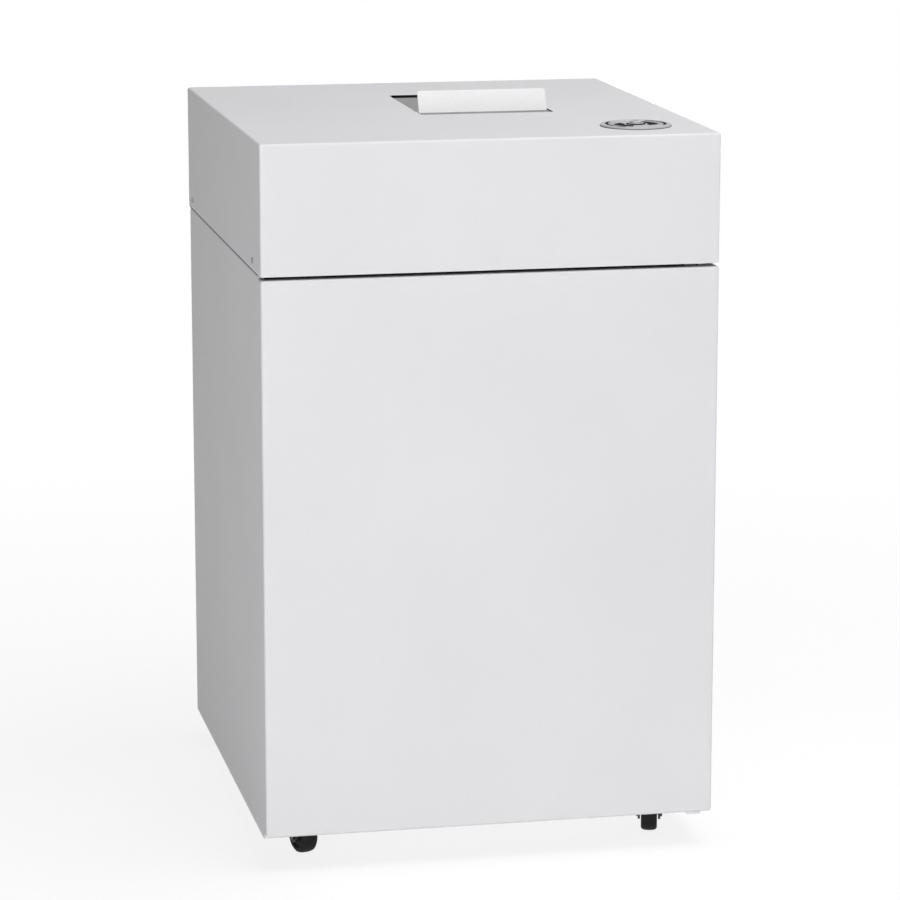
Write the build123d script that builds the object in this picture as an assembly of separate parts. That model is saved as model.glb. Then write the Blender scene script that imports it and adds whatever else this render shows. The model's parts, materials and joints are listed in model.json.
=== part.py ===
from build123d import *
import math
import os

# Driving dimensions, in millimetres. X runs to the right, Y to the back and Z up.
# The origin is on the floor under the middle of the cabinet, and the door faces -Y.

# Cabinet
body_width = 480.0
body_depth = 534.0
door_bottom = 38.5          # floor to the lower edge of the door
door_height = 588.0
door_gap = 3.5              # shadow gap between the door and the hood
door_depth = 20.0
hood_height = 135.0
sheet = 1.5
bend = 3.0                  # bend radius at the middle of the sheet
hood_corner = 4.5           # outer radius of the hood's upright corners
door_edge = 3.4             # radius of the door's front edges
hood_seam = 1.0             # gap between the hood and the side panels
side_inset = 1.0            # the hood stands this far proud of the sides
skirt_bottom = 32.0         # floor to the lower edge of the side panels
panel_gap = 0.6             # closed door to the left side panel
top_flange = 26.0
rear_flange = 22.0
bend_relief = 5.0
tray_flange = 18.0
base_height = 55.0          # floor to the underside of the base plate
back_lap = 14.0             # the back panel reaches this far up into the hood
frame_gap = 2.0             # trays and crossbar end this far short of the door's swing

# Door hinge, catch and switch
pin_inset = 18.0            # hinge pin from the right end of the door
pin_setback = 11.0          # hinge pin behind the front face
pin_radius = 4.0
pin_engagement = 13.0
hinge_boss_radius = 7.0
hinge_plate = 2.5
hinge_half_width = 7.5
hinge_gap = 0.6             # lower bracket below the door
hinge_reach = 46.0          # length of each bracket behind the pin
running_fit = 0.05          # radial clearance of a turning shaft
swing_clearance = 0.5
catch_width = 44.0
catch_height = 12.0
catch_inset = 60.0          # catch from the left end of the door
catch_depth = 16.0
strike_half_length = 33.0
crossbar_height = 30.0
crossbar_depth = 32.0
switch_size = (24.0, 10.0)
switch_gap = 3.0            # door switch to its magnet
switch_offset = 88.0        # door switch to the right of the catch
magnet_depth = 6.0
moulded_corner = 2.0

# Hood fixings
screw_front = 51.0          # front hood screws behind the front face
screw_rear = 35.0           # rear hood screws ahead of the rear face
screw_height = 10.0         # above the hood's lower edge
screw_radius = 2.0
screw_head_radius = 3.4
screw_head = 1.6
screw_length = 9.0
dome_flat = 0.4             # share of a domed top's radius that is flat
dome_shoulder = 0.75        # share of its height that a dome reaches halfway in
tab_width = 24.0
tab_height = 20.0

# Feed slot, lid and chute
slot_width = 145.0
slot_depth = 189.0
slot_offset_x = 41.5        # slot centre from the cabinet's middle
slot_offset_y = 43.5
slot_corner = 3.0
lid_side_gap = 1.2
lid_front_gap = 1.0
lid_drop = 2.0              # lid surface below the hood's top
lid_thickness = 2.5
lid_pin_setback = 8.0       # lid hinge ahead of the slot's rear edge
lid_pin_drop = 5.6          # lid hinge below the hood's top
lid_pin_radius = 2.0
lid_barrel_radius = 4.4
lid_barrel_gap = 3.0        # lid barrel to each wall of the chute
lid_seat_gap = 0.3
lid_seat = 7.0              # depth of the ledge that the closed lid rests on
grip_width = 141.0
grip_rise = 22.0
grip_tilt = 26.0            # degrees from upright, leaning back
grip_setback = 23.0         # grip from the front edge of the slot
grip_foot = 16.0
grip_corner = 4.0
chute_margin = 2.0          # chute collar outside the slot
chute_collar = 24.0
chute_mouth = 92.0          # depth of the throat above the cutters
chute_lip = 10.0

# Cutter block
disc_radius = 38.0
disc_root = 31.0
disc_hooks = 3
hook_undercut = 4.0         # degrees
hook_bulge = 0.55           # share of a hook's turn where its back is halfway down
disc_thickness = 6.0
disc_gap = 0.4              # axial gap between interleaved discs
disc_count = 9              # on each shaft
spacer_radius = 24.0
spacer_gap = 2.0            # disc tips to the other shaft's spacers
hex_across_flats = 26.0
journal_radius = 10.0
cutter_end_gap = 5.4        # end discs to the bearing plates
cutter_height = 87.0        # cutter axes above the deck
cutter_headroom = 6.0       # disc tips to the top of the bearing plates
bearing_plate = 12.0
bearing_radius = 21.0
plate_margin = 62.0         # bearing plate beyond each cutter axis
plate_chamfer = 12.0
tie_rod_radius = 5.0
tie_rod_inset = 10.0
comb_gap = 0.5
shaft_end_gap = 0.5         # hexagon to the bearing plates
comb_bar = 10.0
comb_height = 36.0
comb_clearance = 4.0        # comb bar beyond the disc tips
discharge_margin = 20.0     # deck opening beyond each cutter axis

# Gears and motor
pressure_angle = 20.0
gear_backlash = 0.25
gear_dedendum = 1.25        # root depth in modules
flank_shares = (0, 0.4, 0.7, 1)
sync_teeth = 20
sync_width = 16.0
drive_teeth = 48
pinion_teeth = 16
drive_module = 2.5
drive_width = 14.0
gear_offset = 3.0           # gears outside the bearing plates
pinion_overhang = 2.0       # the pinion is wider than the gear by this at each end
motor_radius = 46.0
motor_length = 136.0
motor_shaft_radius = 7.0
motor_shaft_seat = 30.0
motor_plate = 4.0
motor_plate_gap = 4.0
motor_rib_count = 16
motor_rib = 3.0
motor_nose = 34.0           # plain front end
motor_tail = 6.0
motor_shaft_gap = 0.5       # motor shaft to the mount

# Deck, bin, inlet and control box
deck_drop = 157.0           # top of the deck below the hood's lower edge
bin_clearance = 30.0
bin_front_gap = 12.0
bin_headroom = 55.0         # bin rim below the deck
bin_wall = 2.5
bin_taper = 2.5
bin_lip = 8.0
bin_corner = 15.0
hand_hole_size = (104.0, 24.0)
hand_hole_drop = 32.0       # hand hole below the bin's rim
vent_length = 60.0
vent_height = 4.0
vent_pitch = 10.0
vent_rows = 8
vent_spread = 180.0         # between the two columns of vents
vent_offset = 30.0          # vents to the right of the cabinet's middle
vent_rise = 45.0            # lowest vent above the deck
inlet_width = 28.0
inlet_height = 21.0
inlet_depth = 26.0
inlet_flange = 10.0
inlet_inset = 70.0          # inlet centre from the left side of the cabinet
inlet_wall = 3.0
inlet_socket = 15.0
contact_size = (1.5, 4.0)
contact_pitch = 7.0
contact_rise = 1.5          # earth contact above the other two
inlet_rise = 60.0           # inlet centre above the deck
control_box_size = (110.0, 80.0, 70.0)
control_box_inset = 30.0
box_slots = 5
box_slot_pitch = 12.0
box_slot_size = (35.0, 4.0)

# Dial
dial_radius = 37.5
dial_inset_x = 71.0         # dial centre from the right side of the hood
dial_inset_y = 77.0         # dial centre from the front of the hood
dial_rise = 2.2
bezel_inner = 27.0
ring_clearance = 0.5
ring_drop = 0.4
hub_radius = 11.3
hub_rise = 1.4
button_radius = 6.8
button_rise = 3.6
button_crown = 0.9
button_travel = 2.0
dial_depth = 13.0
switch_base_wall = 6.0
switch_base_depth = 30.0

# Casters
caster_inset_x = 54.0       # swivel axis from the side of the cabinet
caster_inset_y = 55.0       # swivel axis from the front or rear
wheel_width = 17.5
wheel_crown = 3.0
wheel_dish = 2.9
wheel_band = 1.8            # flat band inside the tread
wheel_bevel = 1.2
caster_trail = 14.0
axle_radius = 3.0
axle_head = 2.0
fork_gap = 1.0              # wheel to fork, at each side
fork_sheet = 2.5
fork_headroom = 4.0
fork_lug = 8.0
kingpin_radius = 5.0
caster_plate_size = 44.0
caster_plate = 3.0
hub_wall = 3.0
hub_bevel = 1.8
race_radius = 16.0
race_height = 5.2
race_gap = 0.3
caster_angles = {"front_left": 17.0, "front_right": -15.0, "rear_left": -9.0, "rear_right": 12.0}

# Levels and places worked out from the driving dimensions
half_width = body_width / 2
half_depth = body_depth / 2
front = -half_depth
door_top = door_bottom + door_height
door_rear = front + door_depth
hood_bottom = door_top + door_gap
hood_top = hood_bottom + hood_height
bend_outer = bend + sheet / 2
side_outer = half_width - side_inset
side_inner = side_outer - sheet
bend_start = side_outer - bend_outer
side_top = hood_bottom - hood_seam
flange_under = side_top - sheet
pin_x = half_width - pin_inset
pin_y = front + pin_setback
door_swing = math.hypot(pin_inset, max(pin_setback, door_depth - pin_setback))
frame_front = pin_y + door_swing + frame_gap
right_panel_front = pin_y + math.sqrt(door_swing**2 - (side_inner - pin_x) ** 2) + swing_clearance
back_outer = half_depth - sheet
deck_top = hood_bottom - deck_drop
slot_left = slot_offset_x - slot_width / 2
slot_right = slot_offset_x + slot_width / 2
slot_front = slot_offset_y - slot_depth / 2
slot_rear = slot_offset_y + slot_depth / 2
lid_top = hood_top - lid_drop
lid_pin_y = slot_rear - lid_pin_setback
lid_pin_z = hood_top - lid_pin_drop
collar_left = slot_left - chute_margin
collar_right = slot_right + chute_margin
cutter_z = deck_top + cutter_height
cutter_spread = disc_radius + spacer_radius + spacer_gap
front_axis = slot_offset_y - cutter_spread / 2
rear_axis = slot_offset_y + cutter_spread / 2
disc_pitch = 2 * (disc_thickness + disc_gap)
cutter_length = disc_count * disc_pitch + 2 * cutter_end_gap
cutter_left = slot_offset_x - cutter_length / 2
cutter_right = slot_offset_x + cutter_length / 2
plate_top = cutter_z + disc_radius + cutter_headroom
sync_left = cutter_right + bearing_plate + gear_offset
drive_right = cutter_left - bearing_plate - gear_offset
drive_left = drive_right - drive_width
sync_module = cutter_spread / sync_teeth
motor_axis = front_axis - drive_module * (drive_teeth + pinion_teeth) / 2
motor_face = drive_left - pinion_overhang - motor_plate_gap
dial_x = half_width - dial_inset_x
dial_y = front + dial_inset_y
inlet_x = inlet_inset - half_width
fork_inner = wheel_width / 2 + fork_gap
fork_top = base_height - caster_plate - race_height - race_gap
wheel_radius = (fork_top - fork_sheet - fork_headroom) / 2


def spanned(u0, u1, v0, v1):
    return Pos((u0 + u1) / 2, (v0 + v1) / 2) * Rectangle(u1 - u0, v1 - v0)


def along_x(profile, x0, x1):
    return Pos(x0, 0, 0) * extrude(Plane.YZ * profile, amount=x1 - x0)


def along_y(profile, y0, y1):
    return Pos(0, y1, 0) * extrude(Plane.XZ * profile, amount=y1 - y0)


def along_z(profile, z0, z1):
    return Pos(0, 0, z0) * extrude(profile, amount=z1 - z0)


def disc_at(u, v, radius):
    return Pos(u, v) * Circle(radius)


def bent_sheet(points, thickness=sheet, radius=bend):
    return trace(FilletPolyline(*points, radius=radius), thickness)


def solids_of(pieces):
    return Compound(children=[piece.solid() for piece in pieces])


def hood_screw_places():
    return [front + screw_front, half_depth - screw_rear]


def make_hood():
    skin = along_z(RectangleRounded(body_width, body_depth, hood_corner), hood_bottom, hood_top)
    skin = fillet(skin.edges().group_by(Axis.Z)[-1], bend_outer)
    inside = RectangleRounded(body_width - 2 * sheet, body_depth - 2 * sheet, hood_corner - sheet)
    hollow = along_z(inside, hood_bottom, hood_top - sheet)
    hollow = fillet(hollow.edges().group_by(Axis.Z)[-1], bend_outer - sheet)
    slot = Pos(slot_offset_x, slot_offset_y) * RectangleRounded(slot_width, slot_depth, slot_corner)
    cover = skin - hollow - along_z(slot, hood_top - sheet, hood_top)
    cover -= along_z(disc_at(dial_x, dial_y, bezel_inner), hood_top - sheet, hood_top)
    for y in hood_screw_places():
        hole = disc_at(y, hood_bottom + screw_height, screw_radius)
        cover -= along_x(hole, -half_width, half_width)
    return cover


def domed(rim, bottom, shoulder, top):
    flat = rim * dome_flat
    bulge = ((rim + flat) / 2, shoulder + (top - shoulder) * dome_shoulder)
    arc = ThreePointArc((rim, shoulder), bulge, (flat, top))
    return make_face([arc, Polyline((flat, top), (0, top), (0, bottom), (rim, bottom), (rim, shoulder))])


def make_hood_screws():
    z = hood_bottom + screw_height
    shank = Pos(0, -screw_length / 2, 0) * Rot(90, 0, 0) * Cylinder(screw_radius, screw_length)
    screw = revolve(domed(screw_head_radius, 0, screw_head / 4, screw_head), Axis.Y) + shank
    screws = []
    for side in (-1, 1):
        for y in hood_screw_places():
            screws.append(Pos(side * half_width, y, z) * Rot(0, 0, -90 * side) * screw)
    return solids_of(screws)


def make_side_panel(panel_front):
    wall = side_outer - sheet / 2
    top = side_top - sheet / 2
    rear = half_depth - sheet / 2
    upright = bent_sheet([(wall, skirt_bottom), (wall, top), (side_outer - top_flange, top)])
    plan = bent_sheet([(wall, panel_front), (wall, rear), (side_outer - rear_flange, rear)])
    panel = along_y(upright, panel_front, half_depth - bend_relief)
    panel += along_z(plan, skirt_bottom, side_top - bend_relief)
    tab_outer = half_width - sheet
    for y in hood_screw_places():
        tab = spanned(tab_outer - sheet, tab_outer, y - tab_width / 2, y + tab_width / 2)
        panel += along_z(tab, flange_under - bend, hood_bottom + tab_height)
        hole = disc_at(y, hood_bottom + screw_height, screw_radius)
        panel -= along_x(hole, tab_outer - sheet, tab_outer)
    return panel


def make_back_panel():
    skin = spanned(-bend_start, bend_start, skirt_bottom, hood_bottom + back_lap)
    for column in (-1, 1):
        for row in range(vent_rows):
            place = Pos(vent_offset + column * vent_spread / 2, deck_top + vent_rise + row * vent_pitch)
            skin -= place * SlotOverall(vent_length, vent_height)
    skin -= Pos(inlet_x, deck_top + inlet_rise) * Rectangle(inlet_width, inlet_height)
    return along_y(skin, back_outer - sheet, back_outer)


def make_tray(floor, flange_end):
    wall = side_inner - sheet / 2
    section = bent_sheet([(-wall, flange_end), (-wall, floor), (wall, floor), (wall, flange_end)])
    return along_y(section, frame_front, half_depth - bend_outer)


def make_base_plate():
    floor = base_height + sheet / 2
    return make_tray(floor, floor + tray_flange)


def make_mechanism_deck():
    floor = deck_top - sheet / 2
    opening = spanned(
        cutter_left + cutter_end_gap,
        cutter_right - cutter_end_gap,
        front_axis - discharge_margin,
        rear_axis + discharge_margin,
    )
    return make_tray(floor, floor - tray_flange) - along_z(opening, deck_top - sheet, deck_top)


def make_front_crossbar():
    y0 = frame_front + sheet / 2
    y1 = frame_front + crossbar_depth
    z0 = flange_under - crossbar_height
    z1 = flange_under - sheet / 2
    return along_x(bent_sheet([(y1, z0), (y0, z0), (y0, z1), (y1, z1)]), -bend_start, bend_start)


def make_upper_hinge_bracket():
    tongue = disc_at(pin_x, pin_y, hinge_half_width)
    tongue += spanned(pin_x - hinge_half_width, pin_x + hinge_half_width, pin_y, pin_y + hinge_reach)
    tongue -= disc_at(pin_x, pin_y, pin_radius)
    return along_z(tongue, side_top, side_top + hinge_plate)


def make_lower_hinge_bracket():
    low = door_bottom - hinge_gap - hinge_plate / 2
    high = base_height - hinge_plate / 2
    web = frame_front + hinge_plate / 2
    nose = pin_y - hinge_half_width
    section = bent_sheet([(nose, low), (web, low), (web, high), (pin_y + hinge_reach, high)], hinge_plate)
    bracket = along_x(section, pin_x - hinge_half_width, pin_x + hinge_half_width)
    bracket = fillet(bracket.edges().filter_by(Axis.Z).group_by(Axis.Y)[0], bend_outer)
    return bracket - along_z(disc_at(pin_x, pin_y, pin_radius), low - hinge_plate, low + hinge_plate)


def make_hinge_pins():
    shank = disc_at(pin_x, pin_y, pin_radius)
    upper = along_z(shank, door_top - pin_engagement, side_top + hinge_plate)
    lower = along_z(shank, door_bottom - hinge_gap - hinge_plate, door_bottom + pin_engagement)
    return solids_of([upper, lower])


def make_door():
    middle = door_bottom + door_height / 2
    skin = along_y(Pos(0, middle) * RectangleRounded(body_width, door_height, bend_outer), front, door_rear)
    skin = fillet(skin.edges().group_by(Axis.Y)[0], door_edge)
    inside = RectangleRounded(body_width - 2 * sheet, door_height - 2 * sheet, bend_outer - sheet)
    pan = skin - along_y(Pos(0, middle) * inside, front + sheet, door_rear)
    boss = disc_at(pin_x, pin_y, hinge_boss_radius)
    pan += along_z(boss, door_top - pin_engagement, door_top - sheet)
    pan += along_z(boss, door_bottom + sheet, door_bottom + pin_engagement)
    return pan - along_z(disc_at(pin_x, pin_y, pin_radius + running_fit), door_bottom, door_top)


def catch_level():
    return flange_under - crossbar_height / 2


def make_door_catch():
    x = catch_inset - half_width
    z = catch_level()
    case = spanned(x - catch_width / 2, x + catch_width / 2, z - catch_height / 2, z + catch_height / 2)
    body = along_y(case, frame_front - catch_depth, frame_front)
    return fillet(body.edges().filter_by(Axis.Y), moulded_corner)


def make_door_strike():
    x = catch_inset - half_width
    foot = strike_half_length
    inner = front + sheet + sheet / 2
    face = frame_front - catch_depth - sheet / 2
    rise = catch_width / 2
    left_leg = [(x - foot, inner), (x - rise, inner), (x - rise, face)]
    right_leg = [(x + rise, face), (x + rise, inner), (x + foot, inner)]
    section = bent_sheet(left_leg + right_leg, sheet, sheet)
    z = catch_level()
    return along_z(section, z - catch_height / 2, z + catch_height / 2)


def switch_block(y0, y1):
    length, height = switch_size
    x = catch_inset - half_width + switch_offset
    z = catch_level()
    body = along_y(spanned(x - length / 2, x + length / 2, z - height / 2, z + height / 2), y0, y1)
    return fillet(body.edges().filter_by(Axis.Y), moulded_corner)


def make_door_magnet():
    return switch_block(front + sheet, front + sheet + magnet_depth)


def make_door_switch():
    return switch_block(front + sheet + magnet_depth + switch_gap, frame_front)


def make_feed_lid():
    left = slot_left + lid_side_gap
    right = slot_right - lid_side_gap
    leaf = spanned(left, right, slot_front + lid_front_gap, lid_pin_y)
    lid = along_z(leaf, lid_top - lid_thickness, lid_top)
    lid = fillet(lid.edges().filter_by(Axis.Z).group_by(Axis.Y)[0], slot_corner)
    barrel_left = collar_left + lid_barrel_gap
    barrel_right = collar_right - lid_barrel_gap
    lid += along_x(disc_at(lid_pin_y, lid_pin_z, lid_barrel_radius), barrel_left, barrel_right)
    bore = disc_at(lid_pin_y, lid_pin_z, lid_pin_radius + running_fit)
    return lid - along_x(bore, barrel_left, barrel_right)


def make_lid_grip():
    level = lid_top + sheet / 2
    foot_end = slot_front + grip_setback + grip_foot
    lean = math.tan(math.radians(grip_tilt)) * grip_rise
    bottom = slot_front + grip_setback
    tip = hood_top + grip_rise
    section = bent_sheet([(foot_end, level), (bottom, level), (bottom + lean, tip)], sheet, sheet)
    left = slot_offset_x - grip_width / 2
    grip = along_x(section, left, left + grip_width)
    tip_face = grip.faces().sort_by(Axis.Z)[-1]
    return fillet(tip_face.edges().filter_by(Axis.X, reverse=True), grip_corner)


def make_lid_hinge_pin():
    shank = disc_at(lid_pin_y, lid_pin_z, lid_pin_radius)
    return along_x(shank, collar_left - 2 * sheet, collar_right + 2 * sheet)


def make_feed_chute():
    width = collar_right - collar_left
    depth = slot_depth + 2 * chute_margin
    collar_top = hood_top - sheet
    collar_bottom = collar_top - chute_collar
    mouth_width = cutter_length - 2 * sheet
    centre = Pos(slot_offset_x, slot_offset_y)

    def funnel(grow):
        upper = Pos(0, 0, collar_bottom) * centre * Rectangle(width + grow, depth + grow)
        lower = Pos(0, 0, plate_top) * centre * Rectangle(mouth_width + grow, chute_mouth + grow)
        collar = along_z(centre * Rectangle(width + grow, depth + grow), collar_bottom, collar_top)
        return loft([lower, upper]) + collar

    rim = centre * Rectangle(cutter_length + 2 * bearing_plate, chute_mouth + 2 * chute_lip)
    chute = funnel(2 * sheet) + along_z(rim, plate_top, plate_top + sheet) - funnel(0)
    seat_top = lid_top - lid_thickness - lid_seat_gap
    collar_front = slot_front - chute_margin
    ledge = spanned(collar_front - sheet, collar_front + lid_seat, seat_top - sheet, seat_top)
    chute += along_x(ledge, collar_left, collar_right)
    pin_hole = disc_at(lid_pin_y, lid_pin_z, lid_pin_radius)
    return chute - along_x(pin_hole, collar_left - sheet, collar_right + sheet)


def make_bearing_plate(x0):
    low = front_axis - plate_margin
    high = rear_axis + plate_margin
    profile = make_face(
        Polyline(
            (low, deck_top),
            (high, deck_top),
            (high, plate_top - plate_chamfer),
            (high - plate_chamfer, plate_top),
            (low + plate_chamfer, plate_top),
            (low, plate_top - plate_chamfer),
            close=True,
        )
    )
    for axis in (front_axis, rear_axis):
        profile -= disc_at(axis, cutter_z, bearing_radius)
    for y, z in tie_rod_places():
        profile -= disc_at(y, z, tie_rod_radius)
    return along_x(profile, x0, x0 + bearing_plate)


def tie_rod_places():
    low = front_axis - plate_margin + tie_rod_inset + tie_rod_radius
    high = rear_axis + plate_margin - tie_rod_inset - tie_rod_radius
    foot = deck_top + tie_rod_inset + tie_rod_radius
    shoulder = cutter_z + comb_height / 2 + comb_clearance + tie_rod_radius
    return [(low, foot), (high, foot), (low, shoulder), (high, shoulder)]


def make_tie_rods():
    x0 = cutter_left - bearing_plate
    x1 = cutter_right + bearing_plate
    return solids_of([along_x(disc_at(y, z, tie_rod_radius), x0, x1) for y, z in tie_rod_places()])


def make_cutter_bearings():
    rings = []
    for x0 in (cutter_left - bearing_plate, cutter_right):
        for axis in (front_axis, rear_axis):
            bore = disc_at(axis, cutter_z, journal_radius + running_fit)
            ring = disc_at(axis, cutter_z, bearing_radius) - bore
            rings.append(along_x(ring, x0, x0 + bearing_plate))
    return solids_of(rings)


def hexagon(axis):
    return Pos(axis, cutter_z) * RegularPolygon(hex_across_flats / 2, 6, major_radius=False)


def make_cutter_shaft(axis, left_end):
    shaft = along_x(hexagon(axis), cutter_left + shaft_end_gap, cutter_right - shaft_end_gap)
    return shaft + along_x(disc_at(axis, cutter_z, journal_radius), left_end, sync_left + sync_width)


def hooked_disc():
    step = 360 / disc_hooks
    edges = []
    for hook in range(disc_hooks):
        start = Vector(disc_radius, 0).rotate(Axis.Z, hook * step)
        middle = Vector((disc_radius + disc_root) / 2, 0).rotate(Axis.Z, (hook + hook_bulge) * step)
        root = Vector(disc_root, 0).rotate(Axis.Z, (hook + 1) * step + hook_undercut)
        tip = Vector(disc_radius, 0).rotate(Axis.Z, (hook + 1) * step)
        edges += [ThreePointArc(start, middle, root), Line(root, tip)]
    return make_face(edges)


def disc_places(offset):
    first = cutter_left + cutter_end_gap + disc_gap / 2 + offset
    return [first + index * disc_pitch for index in range(disc_count)]


def make_cutter_discs(axis, offset, hand):
    stagger = 360 / disc_hooks / disc_count
    profile = hooked_disc()
    if hand < 0:
        profile = mirror(profile, about=Plane.YZ)
    discs = []
    for index, x in enumerate(disc_places(offset)):
        blade = Pos(axis, cutter_z) * Rot(0, 0, hand * index * stagger) * profile - hexagon(axis)
        discs.append(along_x(blade, x, x + disc_thickness))
    return solids_of(discs)


def make_spacers(axis, offset):
    ring = disc_at(axis, cutter_z, spacer_radius) - hexagon(axis)
    places = disc_places(offset)[:-1]
    return solids_of([along_x(ring, x + disc_thickness, x + disc_pitch) for x in places])


def make_comb(axis, offset, side):
    near = axis + side * (disc_radius + comb_clearance)
    far = near + side * comb_bar
    z0 = cutter_z - comb_height / 2
    z1 = cutter_z + comb_height / 2
    pieces = [along_x(spanned(min(near, far), max(near, far), z0, z1), cutter_left, cutter_right)]
    tooth = spanned(min(axis, near), max(axis, near), z0, z1)
    tooth -= disc_at(axis, cutter_z, spacer_radius + comb_gap)
    for x in disc_places(offset)[:-1]:
        pieces.append(along_x(tooth, x + disc_thickness + comb_gap, x + disc_pitch - comb_gap))
    return solids_of(pieces)


def gear_profile(module, teeth, bore, turn):
    pitch_radius = module * teeth / 2
    base_radius = pitch_radius * math.cos(math.radians(pressure_angle))
    root_radius = pitch_radius - gear_dedendum * module
    start_radius = max(base_radius, root_radius)
    tip_radius = pitch_radius + module
    half_tooth = math.pi / teeth / 2 - gear_backlash / pitch_radius / 2

    def involute(radius):
        angle = math.acos(base_radius / radius)
        return math.tan(angle) - angle

    def half_angle(radius):
        return half_tooth + involute(pitch_radius) - involute(radius)

    flank = [start_radius + (tip_radius - start_radius) * share for share in flank_shares]
    points = []
    for tooth in range(teeth):
        centre = math.radians(turn) + 2 * math.pi * tooth / teeth
        rising = [(radius, centre - half_angle(radius)) for radius in flank]
        falling = [(radius, centre + half_angle(radius)) for radius in reversed(flank)]
        if root_radius < start_radius:
            rising.insert(0, (root_radius, rising[0][1]))
            falling.append((root_radius, falling[-1][1]))
        for radius, angle in rising + falling:
            points.append((radius * math.cos(angle), radius * math.sin(angle)))
    return make_face(Polyline(*points, close=True)) - Circle(bore)


def make_sync_gear(axis, turn):
    profile = Pos(axis, cutter_z) * gear_profile(sync_module, sync_teeth, journal_radius, turn)
    return along_x(profile, sync_left, sync_left + sync_width)


def make_drive_gear():
    profile = Pos(front_axis, cutter_z) * gear_profile(drive_module, drive_teeth, journal_radius, 0)
    return along_x(profile, drive_left, drive_right)


def make_motor_pinion():
    teeth = gear_profile(drive_module, pinion_teeth, motor_shaft_radius, 180 / pinion_teeth)
    pinion = along_x(Pos(motor_axis, cutter_z) * teeth, drive_left - pinion_overhang, drive_right)
    tail = motor_face - motor_plate - motor_shaft_seat
    return pinion + along_x(disc_at(motor_axis, cutter_z, motor_shaft_radius), tail, drive_right)


def make_motor_mount():
    half = motor_radius + motor_plate
    face = spanned(motor_axis - half, motor_axis + half, deck_top, cutter_z + motor_radius)
    face -= disc_at(motor_axis, cutter_z, motor_shaft_radius + motor_shaft_gap)
    mount = along_x(face, motor_face - motor_plate, motor_face)
    foot = spanned(motor_face - motor_radius, motor_face, motor_axis - half, motor_axis + half)
    mount += along_z(foot, deck_top, deck_top + motor_plate)
    return mount


def make_drive_motor():
    x1 = motor_face - motor_plate
    x0 = x1 - motor_length
    section = Circle(motor_radius - motor_rib)
    for index in range(motor_rib_count):
        turn = Rot(0, 0, 360 / motor_rib_count * index)
        section += turn * Pos(motor_radius - motor_rib, 0) * Rectangle(2 * motor_rib, motor_rib)
    at_axis = Pos(motor_axis, cutter_z)
    motor = along_x(at_axis * section, x0 + motor_tail, x1 - motor_nose)
    motor += along_x(at_axis * Circle(motor_radius), x1 - motor_nose, x1)
    motor += along_x(at_axis * Circle(motor_radius - 2 * motor_rib), x0, x0 + motor_tail)
    bore = at_axis * Circle(motor_shaft_radius + running_fit)
    return motor - along_x(bore, x1 - motor_shaft_seat, x1)


def make_waste_bin():
    floor = base_height + sheet
    rim = deck_top - bin_headroom
    y0 = frame_front + bin_front_gap
    y1 = back_outer - bin_clearance
    width = 2 * (side_inner - bin_clearance)
    depth = y1 - y0
    lean = math.tan(math.radians(bin_taper)) * (rim - floor)
    centre = Pos(0, (y0 + y1) / 2)

    def tub(z, inset):
        return Pos(0, 0, z) * centre * RectangleRounded(width - 2 * inset, depth - 2 * inset, bin_corner)

    inset = bin_lip + bin_wall
    outer = loft([tub(floor, bin_lip + lean), tub(rim, bin_lip)])
    inner = loft([tub(floor + bin_wall, inset + lean), tub(rim, inset)])
    lip = along_z(centre * RectangleRounded(width, depth, bin_corner), rim - bin_wall, rim)
    hand_hole = Pos(0, rim - hand_hole_drop) * SlotOverall(*hand_hole_size)
    return outer + lip - inner - along_y(hand_hole, y0, y0 + bin_clearance)


def make_power_inlet():
    z = deck_top + inlet_rise
    flange = Pos(inlet_x, z) * RectangleRounded(inlet_width + 2 * inlet_flange, inlet_height + sheet, sheet)
    body = Pos(inlet_x, z) * Rectangle(inlet_width, inlet_height)
    mouth = Pos(inlet_x, z) * Rectangle(inlet_width - 2 * inlet_wall, inlet_height - 2 * inlet_wall)
    inlet = along_y(flange, back_outer, half_depth) + along_y(body, back_outer - inlet_depth, back_outer)
    inlet -= along_y(mouth, half_depth - inlet_socket, half_depth)
    for index in (-1, 0, 1):
        place = Pos(inlet_x + index * contact_pitch, z + (1 - abs(index)) * contact_rise)
        inlet += along_y(place * Rectangle(*contact_size), half_depth - inlet_socket, back_outer - sheet)
    return inlet


def make_control_box():
    width, depth, height = control_box_size
    x1 = side_inner - control_box_inset
    y0 = frame_front + control_box_inset
    case = along_z(spanned(x1 - width, x1, y0, y0 + depth), deck_top, deck_top + height)
    case = fillet(case.edges().filter_by(Axis.Z), bend_outer)
    first = x1 - width / 2 - (box_slots - 1) * box_slot_pitch / 2
    for index in range(box_slots):
        place = Pos(first + index * box_slot_pitch, deck_top + height / 2)
        case -= along_y(place * SlotOverall(*box_slot_size, rotation=90), y0, y0 + sheet)
    return case


def at_dial(part):
    return Pos(dial_x, dial_y, 0) * part


def make_dial_bezel():
    section = make_face(
        Polyline(
            (bezel_inner, hood_top),
            (dial_radius, hood_top),
            (dial_radius, hood_top + dial_rise / 2),
            (dial_radius - dial_rise / 2, hood_top + dial_rise),
            (bezel_inner, hood_top + dial_rise),
            close=True,
        )
    )
    return at_dial(revolve(Plane.XZ * section, Axis.Z))


def make_control_ring():
    top = hood_top + dial_rise - ring_drop
    bottom = hood_top + dial_rise - dial_depth
    rim = bezel_inner - ring_clearance
    bore = button_radius + ring_clearance
    section = make_face(
        Polyline(
            (bore, bottom),
            (rim, bottom),
            (rim, top),
            (hub_radius + hub_rise, top),
            (hub_radius, top + hub_rise),
            (bore, top + hub_rise),
            close=True,
        )
    )
    return at_dial(revolve(Plane.XZ * section, Axis.Z))


def make_start_button():
    top = hood_top + dial_rise + button_rise
    bottom = hood_top + dial_rise - dial_depth
    section = domed(button_radius, bottom, top - button_crown, top)
    return at_dial(revolve(Plane.XZ * section, Axis.Z))


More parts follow.
